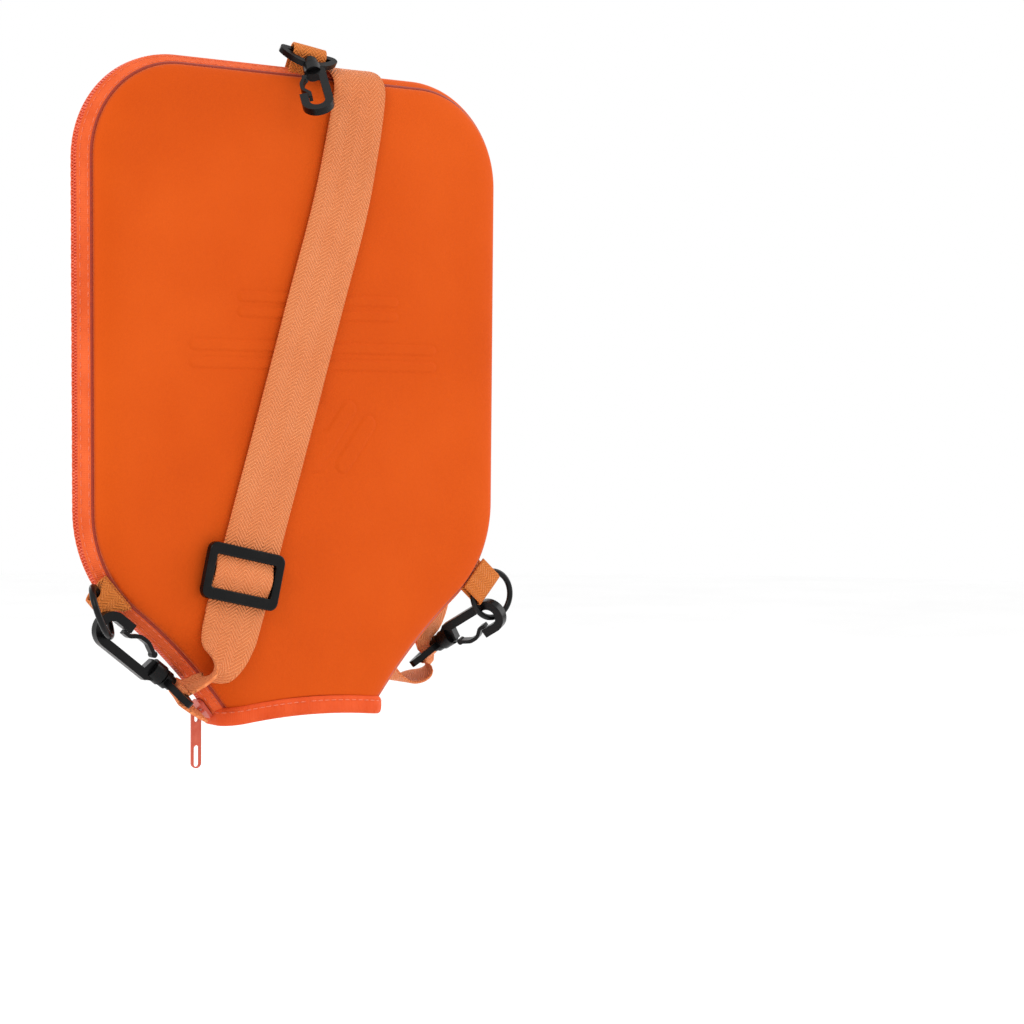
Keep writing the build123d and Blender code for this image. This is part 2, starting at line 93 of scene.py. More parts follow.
def grid_faces(rows, columns, wrap=False):
    """Quads between neighbouring rows of points, closed round each row where wrap is set."""
    faces = []
    last = columns if wrap else columns - 1
    for row in range(rows - 1):
        for column in range(last):
            here = row * columns + column
            beside = row * columns + (column + 1) % columns
            faces.append((here, beside, beside + columns, here + columns))
    return faces


def add_piece(name, points, faces, material, body="case", replaces=(), uvs=None, thick=None):
    """One smooth mesh piece that rides on a body and stands for the CAD nodes named."""
    mesh = bpy.data.meshes.new(name)
    mesh.from_pydata([Vector(point) * MM for point in points], [], faces)
    if uvs is not None:
        layer = mesh.uv_layers.new(name="cloth")
        for loop in mesh.loops:
            layer.data[loop.index].uv = uvs[loop.vertex_index]
    for polygon in mesh.polygons:
        polygon.use_smooth = True
    mesh.materials.append(material)
    mesh.validate()
    piece = bpy.data.objects.new(name, mesh)
    bpy.context.scene.collection.objects.link(piece)
    if thick:
        wall = piece.modifiers.new("thickness", "SOLIDIFY")
        wall.thickness = thick * MM
        wall.offset = -1.0
    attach(piece, body)
    if replaces:
        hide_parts(*replaces)
    return piece


def outward(mesh):
    """Turns a closed mesh's faces to look outward."""
    work = bmesh.new()
    work.from_mesh(mesh)
    bmesh.ops.recalc_face_normals(work, faces=work.faces)
    work.to_mesh(mesh)
    work.free()


def mirrored(points):
    """The same (x, z) corners on the other side of the case."""
    return [(-x, z) for x, z in points]


def rounded_path(corners, radii, step):
    """Points about every step mm along straight runs joined by arcs."""
    places = [Vector(corner) for corner in corners]
    dense = [places[0]]
    for before, corner, after, radius in zip(places, places[1:], places[2:], radii):
        back = (before - corner).normalized()
        ahead = (after - corner).normalized()
        half = back.angle(ahead) / 2
        centre = corner + (back + ahead).normalized() * (radius / math.sin(half))
        start = corner + back * (radius / math.tan(half)) - centre
        turn = math.pi - 2 * half
        if back.x * ahead.y - back.y * ahead.x > 0:
            turn = -turn
        count = max(6, int(abs(turn) * radius / 1.5))
        for index in range(count + 1):
            dense.append(centre + Matrix.Rotation(turn * index / count, 2) @ start)
    dense.append(places[-1])
    return evenly(dense, step)


def evenly(points, step):
    """The same line with its points spaced evenly."""
    lengths = [0.0]
    for one, two in zip(points, points[1:]):
        lengths.append(lengths[-1] + (two - one).length)
    count = max(2, round(lengths[-1] / step))
    spaced = []
    index = 0
    for k in range(count + 1):
        reach = lengths[-1] * k / count
        while index < len(points) - 2 and lengths[index + 1] < reach:
            index += 1
        span = lengths[index + 1] - lengths[index]
        share = (reach - lengths[index]) / span if span else 0
        spaced.append(points[index].lerp(points[index + 1], min(share, 1)))
    return spaced


def outward_normals(points):
    """For a line in x and z that runs clockwise round the case, the unit normals outward."""
    normals = []
    for index in range(len(points)):
        run = points[min(index + 1, len(points) - 1)] - points[max(index - 1, 0)]
        run.normalize()
        normals.append(Vector((-run.y, run.x)))
    return normals


def smoothstep(low, high, value):
    """Smooth rise from 0 at low to 1 at high."""
    share = min(max((value - low) / (high - low), 0), 1)
    return share * share * (3 - 2 * share)


# ---- Materials ---------------------------------------------------------------------------------


def colour(red, green, blue):
    """An sRGB colour from 0 to 255 as the linear values a shader takes."""
    linear = []
    for channel in (red, green, blue):
        value = channel / 255
        linear.append(value / 12.92 if value <= 0.04045 else ((value + 0.055) / 1.055) ** 2.4)
    return (*linear, 1)


class Nodes:
    """Short calls for building one material's nodes."""

    def __init__(self, name):
        self.material = bpy.data.materials.new(name)
        self.material.use_nodes = True
        self.tree = self.material.node_tree
        self.shader = self.tree.nodes["Principled BSDF"]

    def add(self, kind, **settings):
        """A new node with its settings."""
        node = self.tree.nodes.new(kind)
        for key, value in settings.items():
            setattr(node, key, value)
        return node

    def link(self, source, target):
        self.tree.links.new(source, target)

    def set(self, **values):
        """Constants on the shader's sockets."""
        for key, value in values.items():
            self.shader.inputs[key.replace("_", " ")].default_value = value

    def math(self, operation, first, second=None):
        """A sum of one or two sockets or numbers."""
        node = self.add("ShaderNodeMath", operation=operation)
        for socket, value in zip(node.inputs, (first, second)):
            if value is None:
                continue
            if isinstance(value, (int, float)):
                socket.default_value = value
            else:
                self.link(value, socket)
        return node.outputs[0]

    def place(self, kind):
        """Coordinates of one kind, such as Object or UV."""
        return self.add("ShaderNodeTexCoord").outputs[kind]

    def noise(self, place, scale, detail=3, roughness=0.55):
        """Fractal noise at a place."""
        node = self.add("ShaderNodeTexNoise")
        node.inputs["Scale"].default_value = scale
        node.inputs["Detail"].default_value = detail
        node.inputs["Roughness"].default_value = roughness
        self.link(place, node.inputs["Vector"])
        return node.outputs["Fac"]

    def ramp(self, source, stops):
        """Colours between stops of (position, colour)."""
        node = self.add("ShaderNodeValToRGB")
        while len(node.color_ramp.elements) < len(stops):
            node.color_ramp.elements.new(0.5)
        for element, (position, value) in zip(node.color_ramp.elements, stops):
            element.position = position
            element.color = value
        self.link(source, node.inputs["Fac"])
        return node.outputs["Color"]

    def span(self, source, low, high):
        """A value from 0 to 1 brought to between low and high."""
        node = self.add("ShaderNodeMapRange")
        node.inputs["To Min"].default_value = low
        node.inputs["To Max"].default_value = high
        self.link(source, node.inputs["Value"])
        return node.outputs["Result"]

    def mix(self, factor, first, second, blend="MIX"):
        """Two colours mixed by a factor."""
        node = self.add("ShaderNodeMix", data_type="RGBA", blend_type=blend)
        if isinstance(factor, (int, float)):
            node.inputs["Factor"].default_value = factor
        else:
            self.link(factor, node.inputs["Factor"])
        for socket, value in ((node.inputs[6], first), (node.inputs[7], second)):
            if isinstance(value, tuple):
                socket.default_value = value
            else:
                self.link(value, socket)
        return node.outputs[2]

    def bump(self, height, strength, distance, after=None):
        """A normal bent by a height, on top of another."""
        node = self.add("ShaderNodeBump")
        node.inputs["Strength"].default_value = strength
        node.inputs["Distance"].default_value = distance
        self.link(height, node.inputs["Height"])
        if after is not None:
            self.link(after, node.inputs["Normal"])
        return node.outputs["Normal"]

    def finish(self, base=None, normal=None, roughness=None):
        """Joins the results to the shader and gives the material."""
        for value, socket in ((base, "Base Color"), (normal, "Normal"), (roughness, "Roughness")):
            if value is not None:
                self.link(value, self.shader.inputs[socket])
        return self.material


def knit_cloth(name, deep, mid, light, grain=1500):
    """Neoprene's knitted face: fine grain, soft sheen and slow colour drift."""
    n = Nodes(name)
    place = n.place("Object")
    drift = n.noise(place, 9, 3)
    fine = n.noise(place, grain, 2)
    speckle = n.noise(place, 420, 3)
    base = n.ramp(drift, [(0.25, deep), (0.5, mid), (0.8, light)])
    base = n.mix(n.span(speckle, 0.0, 0.3), base, light)
    base = n.mix(n.span(fine, 0.0, 0.35), base, deep)
    normal = n.bump(fine, 0.35, 0.00035)
    normal = n.bump(speckle, 0.25, 0.0006, normal)
    normal = n.bump(n.noise(place, 45, 2), 0.12, 0.004, normal)
    n.set(Specular_IOR_Level=0.1, Sheen_Weight=0.5, Sheen_Roughness=0.3)
    n.set(Sheen_Tint=colour(255, 150, 110))
    return n.finish(base, normal, n.span(speckle, 0.78, 0.95))


def herringbone(name, deep, mid, light, column, pitch):
    """Webbing woven in chevrons; its UV is across and along, in mm."""
    n = Nodes(name)
    split = n.add("ShaderNodeSeparateXYZ")
    n.link(n.place("UV"), split.inputs[0])
    across = n.math("PINGPONG", split.outputs["X"], column)
    slant = n.math("ADD", split.outputs["Y"], across)
    wave = n.math("SINE", n.math("MULTIPLY", slant, 2 * math.pi / pitch))
    thread = n.math("SINE", n.math("MULTIPLY", split.outputs["X"], 2 * math.pi / 0.75))
    height = n.math("ADD", wave, n.math("MULTIPLY", thread, 0.25))
    fuzz = n.noise(n.place("Object"), 900, 2)
    height = n.math("ADD", height, n.math("MULTIPLY", fuzz, 0.8))
    drift = n.noise(n.place("Object"), 25, 3)
    base = n.ramp(drift, [(0.3, mid), (0.75, light)])
    # Painted shade: the woven chevrons' colour darkens towards deep in their grooves, where the bump's
    # height is low.
    tint = n.add("ShaderNodeMapRange")
    tint.inputs["From Min"].default_value = -1.0
    tint.inputs["To Min"].default_value = 0.5
    tint.inputs["To Max"].default_value = 0.0
    n.link(wave, tint.inputs["Value"])
    base = n.mix(tint.outputs["Result"], base, deep)
    normal = n.bump(height, 0.8, 0.0005)
    n.set(Specular_IOR_Level=0.15, Sheen_Weight=0.15, Sheen_Roughness=0.35)
    n.set(Sheen_Tint=colour(255, 205, 170))
    return n.finish(base, normal, n.span(fuzz, 0.5, 0.72))


def ribbed_tape(name, deep, light, pitch):
    """Fine ribs across a tape, and a faint rib along it."""
    n = Nodes(name)
    split = n.add("ShaderNodeSeparateXYZ")
    n.link(n.place("UV"), split.inputs[0])
    rib = n.math("SINE", n.math("MULTIPLY", split.outputs["Y"], 2 * math.pi / pitch))
    cord = n.math("SINE", n.math("MULTIPLY", split.outputs["X"], 2 * math.pi / 1.1))
    fuzz = n.noise(n.place("Object"), 1100, 2)
    height = n.math("ADD", n.math("ADD", rib, n.math("MULTIPLY", cord, 0.5)), fuzz)
    drift = n.noise(n.place("Object"), 60, 3)
    base = n.ramp(drift, [(0.3, deep), (0.7, light)])
    # Painted shade: the colour darkens towards deep in the ribs' grooves, where the bump's height is low.
    tint = n.add("ShaderNodeMapRange")
    tint.inputs["From Min"].default_value = -1.0
    tint.inputs["To Min"].default_value = 0.3
    tint.inputs["To Max"].default_value = 0.0
    n.link(rib, tint.inputs["Value"])
    base = n.mix(tint.outputs["Result"], base, deep)
    n.set(Specular_IOR_Level=0.12, Sheen_Weight=0.15, Sheen_Roughness=0.4)
    n.set(Sheen_Tint=colour(255, 190, 160))
    return n.finish(base, n.bump(height, 0.35, 0.00025), n.span(fuzz, 0.6, 0.82))


def moulded(name, base, worn, roughness, metallic=0.0, specular=0.3):
    """Moulded plastic or painted wire with fine grain and soft scuffs."""
    n = Nodes(name)
    place = n.place("Object")
    scuff = n.noise(place, 90, 5, 0.7)
    fine = n.noise(place, 1400, 2)
    shade = n.ramp(scuff, [(0.5, base), (0.78, worn)])
    n.set(Metallic=metallic, Specular_IOR_Level=specular)
    normal = n.bump(fine, 0.12, 0.00012)
    normal = n.bump(scuff, 0.08, 0.0006, normal)
    low, high = roughness
    return n.finish(shade, normal, n.span(scuff, low, high))


def thread(name, deep, light):
    """Sewing thread, with its twist; the same shader colours the painted seam shadow band."""
    n = Nodes(name)
    place = n.place("Object")
    twist = n.noise(place, 2600, 2)
    base = n.ramp(twist, [(0.35, deep), (0.65, light)])
    n.set(Specular_IOR_Level=0.35, Sheen_Weight=0.2)
    return n.finish(base, n.bump(twist, 0.3, 0.0002), n.span(twist, 0.5, 0.7))


NEOPRENE = knit_cloth("neoprene", colour(190, 68, 10), colour(204, 78, 14), colour(220, 92, 24))
TAPE = ribbed_tape("zip_tape_cloth", colour(214, 84, 36), colour(234, 102, 52), pitch=0.9)
HEM = ribbed_tape("hem_cloth", colour(212, 74, 26), colour(232, 92, 44), pitch=0.8)
STRAP = herringbone(
    "strap_webbing", colour(206, 98, 44), colour(240, 140, 84), colour(248, 154, 98), column=5.0, pitch=1.9
)
TAB = herringbone(
    "tab_webbing", colour(196, 92, 26), colour(230, 130, 56), colour(240, 144, 70), column=3.3, pitch=1.7
)
COIL = moulded("zip_coil_nylon", colour(222, 84, 44), colour(244, 118, 80), (0.36, 0.55))
THREAD = thread("orange_thread", colour(200, 74, 30), colour(246, 128, 84))
# Painted shadow: a dark band along each panel seam stands for the shade in the seam's groove.
PAINTED_SEAM_SHADOW = thread("painted_seam_shadow", colour(132, 34, 8), colour(168, 50, 14))
BLACK_PLASTIC = moulded("black_plastic", colour(8, 8, 9), colour(20, 19, 19), (0.2, 0.36), specular=0.16)
BLACK_METAL = moulded("black_wire", colour(8, 8, 9), colour(22, 21, 21), (0.22, 0.38), specular=0.2)
LACQUER = moulded("salmon_lacquer", colour(196, 84, 62), colour(214, 112, 88), (0.3, 0.45), specular=0.25)

# ---- Case outline ------------------------------------------------------------------------------

RIGHT_CORNERS = [NECK, WAIST, SHOULDER, TOP_CORNER]
SIDE_PATH = rounded_path(
    mirrored(RIGHT_CORNERS) + RIGHT_CORNERS[::-1], SIDE_RADII + SIDE_RADII[::-1], SIDE_STEP
)
SIDE_TREE = kdtree.KDTree(len(SIDE_PATH))
for place_index, place in enumerate(SIDE_PATH):
    SIDE_TREE.insert((place.x, place.y, 0), place_index)
SIDE_TREE.balance()


def seam_distance(x, z):
    """Distance in x and z to the panel's seam, not counting the neck mouth."""
    point = Vector((x, z))
    nearest = SIDE_TREE.find((x, z, 0))[1]
    best = 1e9
    for index in (nearest - 1, nearest):
        if 0 <= index < len(SIDE_PATH) - 1:
            start = SIDE_PATH[index]
            run = SIDE_PATH[index + 1] - start
            share = min(max((point - start).dot(run) / run.length_squared, 0), 1)
            best = min(best, (point - start - run * share).length)
    return best


EDGE_ROLL = 15.0


def edge_roll(distance):
    """Share of the full depth that a padded edge has at a distance from its seam."""
    near = min(distance / EDGE_ROLL, 1)
    return (1 - (1 - near) ** 2.4) ** 0.5


def bar_distance(x, z, start, end, radius):
    """Signed distance to a round-ended bar."""
    point = Vector((x, z))
    run = Vector(end) - Vector(start)
    share = min(max((point - Vector(start)).dot(run) / run.length_squared, 0), 1)
    return (point - Vector(start) - run * share).length - radius


# A plain pressed motif: three slanted bars under two pairs of level bars
MOTIF = [((-14, 124), (2, 146), 4.0), ((2, 120), (21, 146), 4.0), ((18, 120), (32, 139), 4.0)]
LEVEL_BARS = ((166.5, -62, 69), (174.5, -62, 69), (190.0, -37, 47), (197.0, -37, 47))
for height, left, right in LEVEL_BARS:
    MOTIF.append(((left, height), (right, height), 2.3))
MOTIF_BOX = (-70, 110, 78, 206)
MOTIF_RISE = 0.55
MOTIF_GROOVE = 0.2


def motif_height(x, z):
    """How far the pressed motif lifts the front panel."""
    nearest = min(bar_distance(x, z, *bar) for bar in MOTIF)
    rise = MOTIF_RISE * (1 - smoothstep(-0.9, 0.5, nearest))
    return rise - MOTIF_GROOVE * (1 - smoothstep(0.3, 1.6, nearest))


def cloth_drift(x, z, seed):
    """Slow unevenness of a foam-backed cloth."""
    slow = noise.noise(Vector((x * 0.018, z * 0.018, seed)))
    quick = noise.noise(Vector((x * 0.05, z * 0.05, seed + 9)))
    return 0.5 * slow + 0.16 * quick


def panel_depth(x, z, seed):
    """Depth of a panel's outer face from the middle of the case."""
    distance = seam_distance(x, z)
    roll = edge_roll(distance)
    full = PANEL_Y + 0.3 * smoothstep(20, 80, distance)
    rim = SEAM_Y - 0.6
    depth = rim + (full - rim) * roll
    neck = 1 - smoothstep(10, 46, z)
    hem = min(depth, NECK_LOOP[1] + 1.2)
    return depth + (hem - depth) * neck + cloth_drift(x, z, seed) * roll


def neck_arch(x):
    """Rise of the neck's edge at x."""
    return NECK_ARCH * (1 - (x / NECK[0]) ** 2)


# Distances of a panel's outer rings from its seam, then the number of rings on to its core
NEAR_RINGS = (0, 0.7, 1.6, 2.8, 4.2, 6, 8, 10.5, 13.5, 17, 21, 26, 32)
FAR_RINGS = 24
SPINE = (62, 232)
CORE_SHARE = 0.08


def panel_piece(name, side, seed, nodes):
    """A padded panel as rings that run from its seam in to a slim core up its middle."""
    arch = []
    for k in range(1, int(2 * NECK[0] / SIDE_STEP) + 1):
        x = NECK[0] - SIDE_STEP * k
        arch.append(Vector((x, NECK[1] + neck_arch(x))))
    loop = SIDE_PATH + arch
    height = TOP_CORNER[1] - NECK[1]
    rings = len(NEAR_RINGS) + FAR_RINGS
    points, uvs = [], []
    for ring in range(rings):
        for place in loop:
            up = (place.y - NECK[1]) / height
            spine = Vector((CORE_SHARE * place.x, SPINE[0] + (SPINE[1] - SPINE[0]) * up))
            reach = (spine - place).length
            if ring < len(NEAR_RINGS):
                share = NEAR_RINGS[ring] / reach
            else:
                start = NEAR_RINGS[-1] / reach
                share = start + (1 - start) * (ring - len(NEAR_RINGS) + 1) / FAR_RINGS
            spot = place.lerp(spine, min(share, 1))
            points.append(Vector((spot.x, side * panel_depth(spot.x, spot.y, seed), spot.y)))
            uvs.append((spot.x, spot.y))
    faces = grid_faces(rings, len(loop), wrap=True)
    faces.append(tuple(range((rings - 1) * len(loop), rings * len(loop))))
    if side < 0:
        faces = [face[::-1] for face in faces]
    piece = add_piece(
        name, points, faces, NEOPRENE, replaces=nodes, uvs=uvs, thick=PANEL_WALL
    )
    work = bmesh.new()
    work.from_mesh(piece.data)
    bmesh.ops.triangulate(work, faces=[face for face in work.faces if len(face.verts) > 4])
    if side < 0:
        low_x, low_z, high_x, high_z = (value * MM for value in MOTIF_BOX)
        inside = [
            edge
            for edge in work.edges
            if all(low_x < v.co.x < high_x and low_z < v.co.z < high_z for v in edge.verts)
        ]
        bmesh.ops.subdivide_edges(work, edges=inside, cuts=3, use_grid_fill=True)
        for vertex in work.verts:
            x, z = vertex.co.x / MM, vertex.co.z / MM
            if MOTIF_BOX[0] < x < MOTIF_BOX[2] and MOTIF_BOX[1] < z < MOTIF_BOX[3]:
                vertex.co.y -= motif_height(x, z) * MM
    work.to_mesh(piece.data)
    work.free()
    for polygon in piece.data.polygons:
        polygon.use_smooth = True


panel_piece("front_cover", -1, 3.0, ["front_panel"])
panel_piece("back_cover", 1, 7.0, ["back_panel"])

# ---- Gusset and zip ----------------------------------------------------------------------------

ZIP_CORNERS = mirrored(RIGHT_CORNERS) + [(ZIP_END_X, TOP_CORNER[1])]
PLAIN_CORNERS = [(ZIP_END_X, TOP_CORNER[1])] + RIGHT_CORNERS[::-1]
ZIP_PATH = rounded_path(ZIP_CORNERS, SIDE_RADII, ZIP_STEP)
PLAIN_PATH = rounded_path(PLAIN_CORNERS, SIDE_RADII[::-1], ZIP_STEP)


def gusset_height(depth):
    """How far the gusset bulges outward at a depth from its middle."""
    return GUSSET_BULGE * (1 - (depth / SEAM_Y) ** 2)


def band_piece(name, path, depths, lift, material, nodes, thick=TAPE_WALL):
    """Cloth band along a seam path, over the gusset's bulge."""
    normals = outward_normals(path)
    points, uvs = [], []
    for row, (place, normal) in enumerate(zip(path, normals)):
        for depth in depths:
            height = gusset_height(depth) + lift(depth)
            points.append((place.x + normal.x * height, depth, place.y + normal.y * height))
            uvs.append((depth, row * ZIP_STEP))
    faces = [face[::-1] for face in grid_faces(len(path), len(depths))]
    add_piece(name, points, faces, material, replaces=nodes, uvs=uvs, thick=thick)


def seam_tuck(depth):
    """The band's edge turns in where it is sewn to a panel."""
    return -1.4 * smoothstep(SEAM_Y - 1.2, SEAM_Y, abs(depth))


def coil_lip(depth):
    """The tape's inner edge stands up beside the coil."""
    return 0.35 * (1 - smoothstep(2.6, 3.6, abs(depth))) + seam_tuck(depth)


TAPE_DEPTHS = [2.6, 2.9, 3.4, 4.2, 5.2, 6.2, 7.2, 7.9, 8.4, 8.8, 9.05]
band_piece("zip_tape_rear", ZIP_PATH, TAPE_DEPTHS, coil_lip, TAPE, ["zip_tape_back"])
band_piece(
    "zip_tape_fore", ZIP_PATH, [-depth for depth in TAPE_DEPTHS[::-1]], coil_lip, TAPE,
    ["zip_tape_front"],
)
HALF_DEPTHS = [1.8, 3.6, 5.4, 6.8, 7.8, 8.4, 8.8, 9.05]
PLAIN_DEPTHS = [-depth for depth in HALF_DEPTHS[::-1]] + [0] + HALF_DEPTHS
band_piece(
    "plain_side", PLAIN_PATH, PLAIN_DEPTHS, seam_tuck, NEOPRENE, ["plain_gusset"], PANEL_WALL
)


def seam_shadow_lift(depth):
    """The painted seam shadow band lies just proud of the band."""
    return seam_tuck(depth) + 0.14


# Painted seam shadow: a slim dark band along each panel's seam, in place of the shade in its groove.
for seam_name, side in (("seam_shadow_fore", -1), ("seam_shadow_rear", 1)):
    seam_depths = [side * depth for depth in (7.95, 8.2, 8.5)]
    band_piece(seam_name, SIDE_PATH, seam_depths[::side], seam_shadow_lift, PAINTED_SEAM_SHADOW, [], 0.2)


def bead(points, faces, start, end, up, width, height):
    """Adds a small round-ended bar from start to end, flattened to width and height."""
    run = (end - start).normalized()
    side = run.cross(up).normalized()
    first = len(points)
    sections = ((0.0, 0.35), (0.18, 0.9), (0.5, 1.0), (0.82, 0.9), (1.0, 0.35))
    for share, swell in sections:
        middle = start.lerp(end, share)
        for step in range(6):
            angle = math.pi * step / 3
            offset = side * (math.cos(angle) * width / 2) + up * (math.sin(angle) * height / 2)
            points.append(middle + offset * swell)
    for face in grid_faces(len(sections), 6, wrap=True):
        faces.append(tuple(first + corner for corner in face))
    faces.append(tuple(first + corner for corner in range(5, -1, -1)))
    last = first + 6 * (len(sections) - 1)
    faces.append(tuple(last + corner for corner in range(6)))


def along_band(path, reach, depth, lift=0.0):
    """Point and outward direction on the gusset at a length along its path."""
    index = min(int(reach / ZIP_STEP), len(path) - 2)
    place = path[index].lerp(path[index + 1], min(reach / ZIP_STEP - index, 1))
    run = (path[index + 1] - path[index]).normalized()
    normal = Vector((-run.y, run.x))
    height = gusset_height(depth) + lift
    spot = place + normal * height
    return Vector((spot.x, depth, spot.y)), Vector((normal.x, 0, normal.y))


def path_length(path):
    """Length of a line of points."""
    return sum((two - one).length for one, two in zip(path, path[1:]))


TOOTH_PITCH = 1.4
TOOTH_WIDTH = 1.0
TOOTH_HEIGHT = 1.35
TOOTH_SINK = 0.75
TOOTH_SPAN = (-0.25, 2.9)
COIL_START = 6.0
CORD_SINK = 0.5
CORD_DEPTHS = [-2.8, -1.4, 0, 1.4, 2.8]


def coil_piece(name, side, node):
    """One half of the coil: a row of nylon teeth that lock with the other half's."""
    points, faces = [], []
    reach = COIL_START if side < 0 else COIL_START + TOOTH_PITCH / 2
    while reach < path_length(ZIP_PATH) - 2:
        middle, up = along_band(ZIP_PATH, reach, 0.0)
        base = middle - up * (GUSSET_BULGE - COIL_TOP + TOOTH_SINK)
        start = base + Vector((0, side * TOOTH_SPAN[1], 0)) - up * 0.35
        end = base + Vector((0, side * TOOTH_SPAN[0], 0))
        bead(points, faces, start, end, up, TOOTH_WIDTH, TOOTH_HEIGHT)
        reach += TOOTH_PITCH
    piece = add_piece(name, points, faces, COIL, replaces=[node])
    outward(piece.data)


coil_piece("coil_fore", -1, "zip_coil_front")
coil_piece("coil_rear", 1, "zip_coil_back")
band_piece("coil_cord", ZIP_PATH[2:-1], CORD_DEPTHS, lambda depth: -CORD_SINK, COIL, [], 0.4)


def stitch_row(points, faces, spots, length=2.5, gap=0.9, width=0.55, height=0.4):
    """Stitches along a line of (point, up) spots."""
    travelled, start = 0.0, spots[0]
    for before, after in zip(spots, spots[1:]):
        travelled += (after[0] - before[0]).length
        if start is None:
            if travelled >= gap:
                start, travelled = after, 0.0
        elif travelled >= length:
            bead(points, faces, start[0], after[0], after[1], width, height)
            start, travelled = None, 0.0


def stitch_piece(name, rows):
    """Rows of stitches as one piece of thread."""
    points, faces = [], []
    for row in rows:
        stitch_row(points, faces, row)
    piece = add_piece(name, points, faces, THREAD)
    outward(piece.data)


ROW_STEP = 0.4
ROW_ENDS = 8


def band_row(path, depth, lift):
    """Closely spaced spots along the gusset at one depth, clear of its ends."""
    count = int(path_length(path) / ROW_STEP)
    return [along_band(path, ROW_STEP * k, depth, lift) for k in range(ROW_ENDS, count - ROW_ENDS)]


stitch_piece("tape_stitches", [band_row(ZIP_PATH, depth, 0.1) for depth in (-7.3, -4.1, 4.1, 7.3)])

# ---- Inside seam tapes -------------------------------------------------------------------------


# Depth from the middle and distance in from the seam, across the tape
COVER_SECTION = ((9.2, 3.9), (9.6, 4.4), (10.4, 4.5), (11.0, 4.2))
COVER_LOW = 14


def seam_cover(name, side, node):
    """Flat tape over a panel's seam allowance, inside the case."""
    normals = outward_normals(SIDE_PATH)
    points, uvs = [], []
    for row, (place, normal) in enumerate(zip(SIDE_PATH, normals)):
        if place.y < COVER_LOW:
            continue
        for depth, inset in COVER_SECTION:
            spot = place - normal * inset
            points.append((spot.x, side * depth, spot.y))
            uvs.append((depth * 2, row * SIDE_STEP))
    faces = grid_faces(len(points) // len(COVER_SECTION), len(COVER_SECTION))
    add_piece(name, points, faces, HEM, replaces=[node], uvs=uvs, thick=0.5)


seam_cover("seam_cover_fore", -1, "seam_tape_front")
seam_cover("seam_cover_rear", 1, "seam_tape_back")

# ---- Neck hem ----------------------------------------------------------------------------------


def neck_loop(count):
    """Points and outward directions round the neck mouth in plan, starting at the middle front."""
    half_x, half_y = NECK_LOOP
    radius = NECK_LOOP_RADIUS
    corners = [
        (half_x - radius, -half_y + radius, -90), (half_x - radius, half_y - radius, 0),
        (-half_x + radius, half_y - radius, 90), (-half_x + radius, -half_y + radius, 180),
    ]
    dense = [Vector((0, -half_y))]
    for x, y, start in corners:
        for k in range(13):
            angle = math.radians(start + 90 * k / 12)
            dense.append(Vector((x + radius * math.cos(angle), y + radius * math.sin(angle))))
    dense.append(Vector((0, -half_y)))
    loop = evenly(dense, path_length(dense) / count)[:-1]
    spots = []
    for index, place in enumerate(loop):
        run = loop[(index + 1) % len(loop)] - loop[index - 1]
        run.normalize()
        spots.append((place, Vector((run.y, -run.x))))
    return spots


HEM_HALF = 45.2


def hem_lift(x):
    """Rise of the hem at x, following the neck's arch."""
    return NECK_ARCH * (1 - min(abs(x) / HEM_HALF, 1) ** 2)


# Distance out from the neck's loop and height, once round the folded hem
HEM_SECTION = [
    (-2.4, 8.2), (-2.6, 6.0), (-2.6, 3.0), (-2.3, 1.0), (-1.4, 0.15), (0.0, 0.0), (1.4, 0.15), (2.3, 1.0),
    (2.7, 2.6), (2.8, 4.6), (2.75, 6.4), (2.4, 7.6), (1.6, 8.5), (0.2, 8.7), (-1.4, 8.6),
]
NECK_SPOTS = neck_loop(150)


def hem_point(spot, outset, height):
    """Place on the hem at an outset and height beside a spot of the neck's loop."""
    place, normal = spot
    where = place + normal * outset
    return Vector((where.x, where.y, height + hem_lift(where.x)))


hem_points, hem_uvs = [], []
for spot_index, spot in enumerate(NECK_SPOTS):
    pucker = 0.12 * math.sin(spot_index * 1.9) + 0.15 * noise.noise(Vector((spot_index * 0.22, 0, 5)))
    for outset, height in HEM_SECTION:
        hem_points.append(hem_point(spot, outset + (pucker if outset > 2 else 0), height))
        hem_uvs.append((height * 2 + outset, spot_index * 1.4))
hem_faces = grid_faces(len(NECK_SPOTS), len(HEM_SECTION), wrap=True)
final_row = (len(NECK_SPOTS) - 1) * len(HEM_SECTION)
for column in range(len(HEM_SECTION)):
    beside = (column + 1) % len(HEM_SECTION)
    hem_faces.append((final_row + column, final_row + beside, beside, column))
neck_hem = add_piece(
    "neck_hem", hem_points, hem_faces, HEM,
    replaces=["neck_binding_front", "neck_binding_back"], uvs=hem_uvs,
)
outward(neck_hem.data)

hem_row = []
for spot in neck_loop(660):
    hem_row.append((hem_point(spot, 2.85, 6.6), Vector((spot[1].x, spot[1].y, 0))))
stitch_piece("neck_stitches", [hem_row])

# ---- Pocket ------------------------------------------------------------------------------------

POCKET_INSET = 4.9
POCKET_LOW = POCKET_MOUTH_Z + 1.0
POCKET_EDGE = 22
POCKET_STRAIGHT = 111
POCKET_CROWN = 25.9


def pocket_depth(x, z):
    """Depth of the pocket sheet's outer face."""
    distance = max(seam_distance(x, z) - POCKET_INSET, 0)
    share = edge_roll(distance * EDGE_ROLL / POCKET_EDGE)
    edge = SEAM_Y + (PANEL_Y - SEAM_Y) * edge_roll(POCKET_INSET) + 0.9
    full = POCKET_Y - 0.7 + 0.3 * noise.noise(Vector((x * 0.02, z * 0.02, 21)))
    return edge + (full - edge) * share


def pocket_half_width(z):
    """Half of the pocket's width at a height, inset from the panel's seam."""
    low, high = 0.0, TOP_CORNER[0]
    for _ in range(24):
        middle = (low + high) / 2
        if seam_distance(middle, z) > POCKET_INSET:
            low = middle
        else:
            high = middle
    return low


